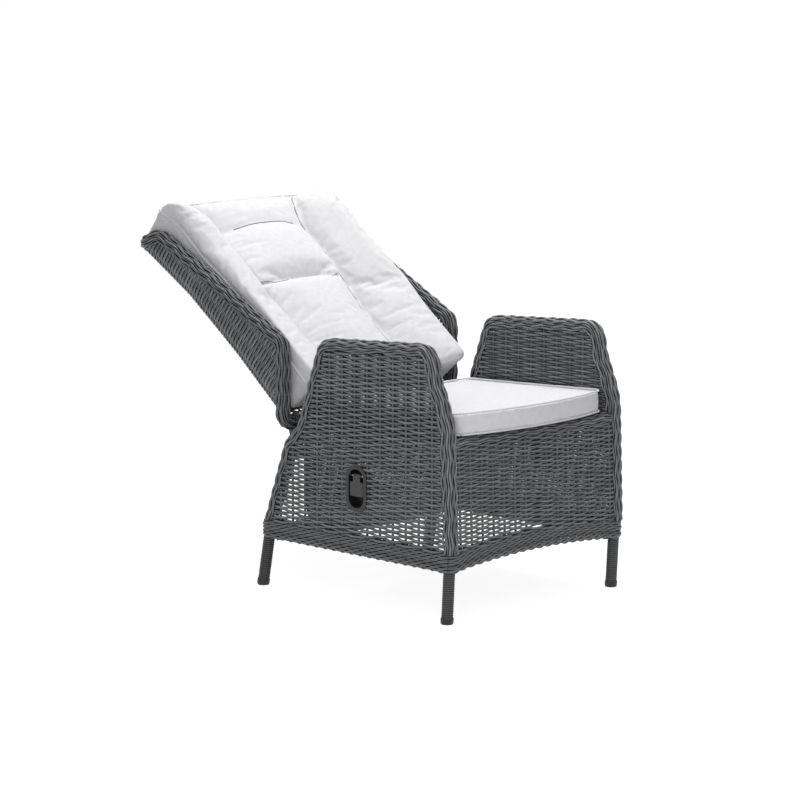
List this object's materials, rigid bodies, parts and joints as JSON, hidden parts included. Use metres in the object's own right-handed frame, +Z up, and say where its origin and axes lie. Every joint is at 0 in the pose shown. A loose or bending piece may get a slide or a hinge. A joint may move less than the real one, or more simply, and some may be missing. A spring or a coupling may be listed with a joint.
{
  "type": "reclining garden armchair",
  "caption": "Garden armchair in woven resin with light grey cushions and a winged back that reclines on a lockable gas strut, released by a lever in the side.",
  "frame": {"origin": "on the floor, under the middle of the reclined chair's bounding box", "axes": "+Z up, the sitter faces -Y, +X is the sitter's left"},
  "size_m": [0.623, 1.1239, 0.9116],
  "materials": {
    "frame_tube": "satin powder coat",
    "woven_resin": "woven round resin strands",
    "cushion_fabric": "plain woven outdoor fabric",
    "black_plastic": "fine moulded texture",
    "strap_webbing": "elastic webbing",
    "steel": "bright zinc",
    "strut_black": "smooth black paint",
    "cable_sheath": "smooth sheath"
  },
  "bodies": {
    "base": {"side_frame_left": "frame_tube", "side_frame_right": "frame_tube", "rear_panel_frame": "frame_tube", "front_rail": "frame_tube", "rear_seat_rail": "frame_tube", "seat_side_rails": "frame_tube", "seat_cross_bars": "frame_tube", "rear_cross_rail": "frame_tube", "strut_lower_lugs": "frame_tube", "pivot_studs": "frame_tube", "cable_stop": "frame_tube", "arm_rim_left": "woven_resin", "arm_rim_right": "woven_resin", "leg_wraps": "woven_resin", "side_skirt_left": "woven_resin", "side_skirt_right": "woven_resin", "front_skirt": "woven_resin", "side_panel_left": "woven_resin", "side_panel_right": "woven_resin", "arm_lining_left": "woven_resin", "arm_lining_right": "woven_resin", "front_panel": "woven_resin", "rear_panel": "woven_resin", "front_rail_wrap": "woven_resin", "seat_cushion": "cushion_fabric", "foot_caps": "black_plastic", "lever_housing": "black_plastic", "cable_clips": "black_plastic", "seat_straps": "strap_webbing", "strut_lower_pin": "steel", "pivot_nuts": "steel", "lever_pin": "steel", "release_cable": "cable_sheath"},
    "backrest": {"back_frame": "frame_tube", "back_rim": "woven_resin", "back_shell": "woven_resin", "back_braces": "frame_tube", "hinge_plates": "frame_tube", "hinge_bushes": "black_plastic", "strut_upper_lugs": "frame_tube", "strut_upper_pin": "steel", "back_cushion": "cushion_fabric"},
    "gas_rod": {"release_head": "strut_black", "gas_rod": "steel"},
    "gas_cylinder": {"gas_cylinder": "strut_black", "gas_gland": "strut_black"},
    "release_arm": {"release_arm": "steel"},
    "release_lever": {"release_lever": "black_plastic"},
    "lever_wire": {"lever_wire": "steel"},
    "arm_wire": {"arm_wire": "steel"}
  },
  "joints": [
    {"name": "recline", "type": "hinge", "parent": "base", "child": "backrest", "pos_m": [0, 0.00443, 0.34], "axis": [1, 0, 0], "range_deg": [0, 20]},
    {"name": "strut_swing", "type": "hinge", "parent": "base", "child": "gas_rod", "pos_m": [0, 0.0737, 0.151], "axis": [1, 0, 0], "range_deg": [0, 4.42]},
    {"name": "strut_extend", "type": "slide", "parent": "gas_rod", "child": "gas_cylinder", "axis": [0, 0.0901, 0.9959], "range_m": [0, 0.02828]},
    {"name": "release_lever_pull", "type": "hinge", "parent": "base", "child": "release_lever", "pos_m": [-0.3035, -0.2425, 0.317], "axis": [0, 1, 0], "range_deg": [0, 25], "stiffness_Nm_per_rad": 0.8},
    {"name": "release_arm_press", "type": "hinge", "parent": "gas_rod", "child": "release_arm", "pos_m": [-0.014, 0.07496, 0.16494], "axis": [1, 0, 0], "range_deg": [0, 13.52]},
    {"name": "lever_wire_slide", "type": "slide", "parent": "base", "child": "lever_wire", "axis": [-1, 0, 0], "range_m": [0, 0.00757]},
    {"name": "arm_wire_slide", "type": "slide", "parent": "base", "child": "arm_wire", "axis": [0, 0, -1], "range_m": [0, 0.00757]}
  ],
  "couplings": [
    {"joint": "strut_swing", "follows": "recline", "ratio": 0.21642},
    {"joint": "strut_extend", "follows": "recline", "m_per_rad": 0.079432},
    {"joint": "release_arm_press", "follows": "release_lever_pull", "ratio": 0.53},
    {"joint": "lever_wire_slide", "follows": "release_lever_pull", "m_per_rad": 0.017},
    {"joint": "arm_wire_slide", "follows": "release_lever_pull", "m_per_rad": 0.017}
  ]
}
